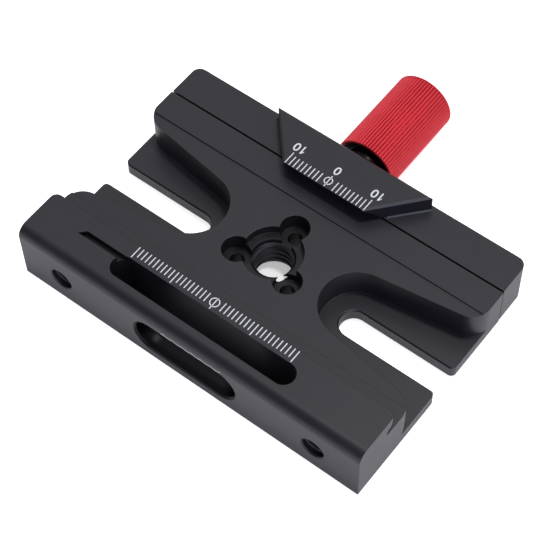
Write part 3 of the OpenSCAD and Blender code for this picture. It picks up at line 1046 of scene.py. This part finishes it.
# Table, light and backdrop; lengths in metres, angles in degrees
stageSettings = {
    "floorSize": 3.0,
    "floorColor": (0.9, 0.9, 0.9),
    "floorLift": 0.75,
    "floorGlossLift": 0.25,
    # Painted shade: the floor's glow is weaker within this radius of the middle hole's axis, so the lamp's real shadow
    # seen through the hole shows darker
    "paintedShadeRadius": 0.0062,
    "paintedShadeLift": 0.54,
    "skyZenith": (0.4, 0.4, 0.44),
    "skyMiddle": (0.6, 0.6, 0.64),
    "skyHorizon": (0.16, 0.16, 0.17),
    "panelColor": (0.85, 0.85, 0.91),
    "panelAzimuth": 150.0,
    "panelElevation": 55.0,
    "panelInner": 15.0,
    "panelOuter": 42.0,
    "windowColor": (2.3, 2.4, 3.1),
    "windowAzimuth": -35.0,
    "windowElevation": 32.0,
    "windowInner": 10.0,
    "windowOuter": 28.0,
    "cardColor": (0.12, 0.12, 0.14),
    "cardAzimuth": -117.0,
    "cardElevation": 38.0,
    "cardInner": 16.0,
    "cardOuter": 38.0,
    "lampAzimuth": 52.0,
    "lampElevation": 79.0,
    "lampDistance": 0.9,
    "lampSize": 0.12,
    "lampPower": 2.8,
}


def unitVector(azimuth, elevation):
    a, e = math.radians(azimuth), math.radians(elevation)
    return Vector((math.cos(e) * math.cos(a), math.cos(e) * math.sin(a), math.sin(e)))


def makeFloor(settings):
    bodyLow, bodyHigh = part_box("clamp_body")
    knobLow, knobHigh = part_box("knob")
    front = Vector((0, bodyLow.y, bodyLow.z))
    rear = Vector((0, knobLow.y + knobSettings["neckLength"] * mm, knobLow.z))
    tilt = math.atan2(rear.z - front.z, rear.y - front.y)
    half = settings["floorSize"] / 2
    mesh = bpy.data.meshes.new("floor")
    corners = [(x * half, y * half, 0) for x, y in ((-1, -1), (1, -1), (1, 1), (-1, 1))]
    mesh.from_pydata(corners, [], [(0, 1, 2, 3)])
    mesh.transform(Matrix.Translation(front - Vector((0, 0, 0.00002))) @ Matrix.Rotation(tilt, 4, "X"))
    material = bpy.data.materials.new("floorPaper")
    material.use_nodes = True
    tree = material.node_tree
    tree.nodes.clear()
    place = tree.nodes.new("ShaderNodeTexCoord").outputs["Object"]
    low = tuple(c * 0.985 for c in settings["floorColor"])
    color = noiseBetween(tree, place, 0.004, low, settings["floorColor"])
    paper = addNode(tree, "ShaderNodeBsdfDiffuse", {"Color": color})
    rays = tree.nodes.new("ShaderNodeLightPath").outputs
    mirrored = addNode(
        tree, "ShaderNodeMath", {0: rays["Is Glossy Ray"], 1: rays["Is Transmission Ray"]}, operation="MAXIMUM"
    )
    mirrored = addNode(
        tree, "ShaderNodeMath", {0: mirrored.outputs[0], 1: settings["floorGlossLift"]}, operation="MULTIPLY"
    )
    lift = addNode(
        tree,
        "ShaderNodeMath",
        {0: rays["Is Camera Ray"], 1: settings["floorLift"], 2: mirrored.outputs[0]},
        operation="MULTIPLY_ADD",
    )
    # Painted shade: near the middle hole's axis the glow is scaled down, partly painted darkness on top of the lamp's
    # real shadow
    fromHole = addNode(tree, "ShaderNodeVectorMath", {0: place}, operation="LENGTH").outputs["Value"]
    limits = {"Value": fromHole, "From Min": settings["paintedShadeRadius"], "From Max": settings["paintedShadeRadius"] + 0.001}
    limits["To Min"] = settings["paintedShadeLift"]
    shade = addNode(tree, "ShaderNodeMapRange", limits)
    lift = addNode(tree, "ShaderNodeMath", {0: lift.outputs[0], 1: shade.outputs[0]}, operation="MULTIPLY")
    glow = addNode(tree, "ShaderNodeEmission", {"Strength": lift.outputs[0]})
    both = addNode(tree, "ShaderNodeAddShader", {0: paper.outputs[0], 1: glow.outputs[0]})
    addNode(tree, "ShaderNodeOutputMaterial", {"Surface": both.outputs[0]})
    mesh.materials.append(material)
    floor = bpy.data.objects.new("floor", mesh)
    bpy.context.scene.collection.objects.link(floor)


# Even grey room that is darker at the horizon, with a large soft panel behind the object, a window and a dark card in front
def makeSky(settings):
    world = bpy.data.worlds.new("studio")
    bpy.context.scene.world = world
    world.use_nodes = True
    tree = world.node_tree
    tree.nodes.clear()
    direction = tree.nodes.new("ShaderNodeTexCoord").outputs["Generated"]
    height = addNode(tree, "ShaderNodeSeparateXYZ", {0: direction}).outputs["Z"]

    def fade(value, start, full):
        limits = {"Value": value, "From Min": start, "From Max": full}
        return addNode(tree, "ShaderNodeMapRange", limits, interpolation_type="SMOOTHSTEP").outputs[0]

    rise = fade(height, 0.05, 0.4)
    top = fade(height, 0.55, 0.9)
    room = mixColors(tree, rise, settings["skyHorizon"], settings["skyMiddle"])
    room = mixColors(tree, top, room, settings["skyZenith"])
    for name in ("panel", "window", "card"):
        center = unitVector(settings[name + "Azimuth"], settings[name + "Elevation"])
        nearness = addNode(tree, "ShaderNodeVectorMath", {0: direction, 1: center}, operation="DOT_PRODUCT")
        edge = (math.cos(math.radians(settings[name + side])) for side in ("Outer", "Inner"))
        room = mixColors(tree, fade(nearness.outputs["Value"], *edge), room, settings[name + "Color"])
    seen = tree.nodes.new("ShaderNodeLightPath").outputs["Is Camera Ray"]
    room = mixColors(tree, seen, room, (1.0, 1.0, 1.0))
    sky = addNode(tree, "ShaderNodeBackground", {"Color": room, "Strength": 1.0})
    addNode(tree, "ShaderNodeOutputWorld", {"Surface": sky.outputs[0]})


def makeLamp(settings):
    data = bpy.data.lights.new("softbox", "AREA")
    data.shape = "DISK"
    data.size = settings["lampSize"]
    data.energy = settings["lampPower"]
    lamp = bpy.data.objects.new("softbox", data)
    bpy.context.scene.collection.objects.link(lamp)
    lamp.location = unitVector(settings["lampAzimuth"], settings["lampElevation"]) * settings["lampDistance"]
    lamp.rotation_euler = lamp.location.to_track_quat("Z", "Y").to_euler()


makeFloor(stageSettings)
makeSky(stageSettings)
makeLamp(stageSettings)
addCamera(photoView)
bpy.context.scene.view_settings.view_transform = "Standard"
print("stage: floor, light and camera made")

bpy.context.view_layer.update()
